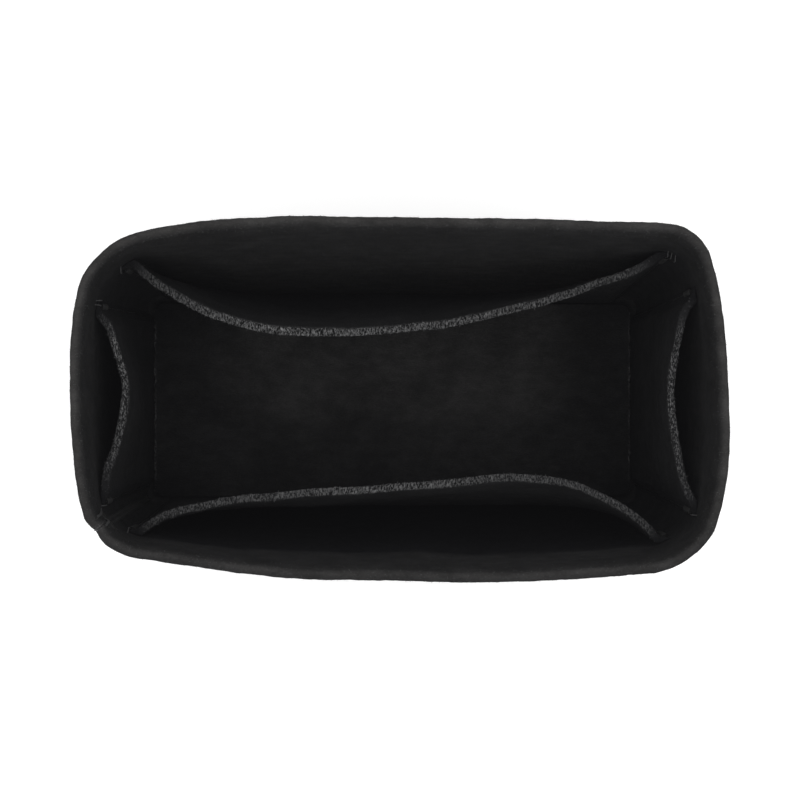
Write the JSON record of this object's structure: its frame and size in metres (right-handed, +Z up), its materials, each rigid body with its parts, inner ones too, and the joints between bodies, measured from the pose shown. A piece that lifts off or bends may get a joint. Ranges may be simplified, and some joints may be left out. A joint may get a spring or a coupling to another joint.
{
  "type": "purse organizer insert",
  "caption": "Open felt insert for a handbag: a folded wall strip round a stiffened floor, with an open felt pocket sewn inside each of the four sides.",
  "frame": {"origin": "middle of the base's underside, on the surface that it stands on", "axes": "+X to the right along the long side, +Y to the back, +Z up through the open mouth"},
  "size_m": [0.221, 0.1223, 0.12],
  "materials": {
    "wall_felt": "black needle felt folded double over the rim, short nap, matt",
    "pocket_felt": "black needle felt with cut lips whose fibres catch the light as dark grey",
    "floor_felt": "black needle felt, faintly mottled and creased, with cut ends",
    "base_felt": "black needle felt, matt",
    "board": "thin black stiffening board, hidden between the two base felts",
    "thread": "dark grey polyester thread in dense satin stitches"
  },
  "bodies": {
    "root": {"wall_strip": "wall_felt", "corner_seam_tack": "thread", "base_underside": "base_felt", "base_board": "board", "floor_panel": "floor_felt", "back_pocket": "pocket_felt", "back_pocket_tack_left": "thread", "back_pocket_tack_right": "thread", "front_pocket": "pocket_felt", "front_pocket_tack_left": "thread", "front_pocket_tack_right": "thread", "left_pocket": "pocket_felt", "left_pocket_tack_front": "thread", "left_pocket_tack_back": "thread", "right_pocket": "pocket_felt", "right_pocket_tack_front": "thread", "right_pocket_tack_back": "thread"}
  },
  "joints": []
}
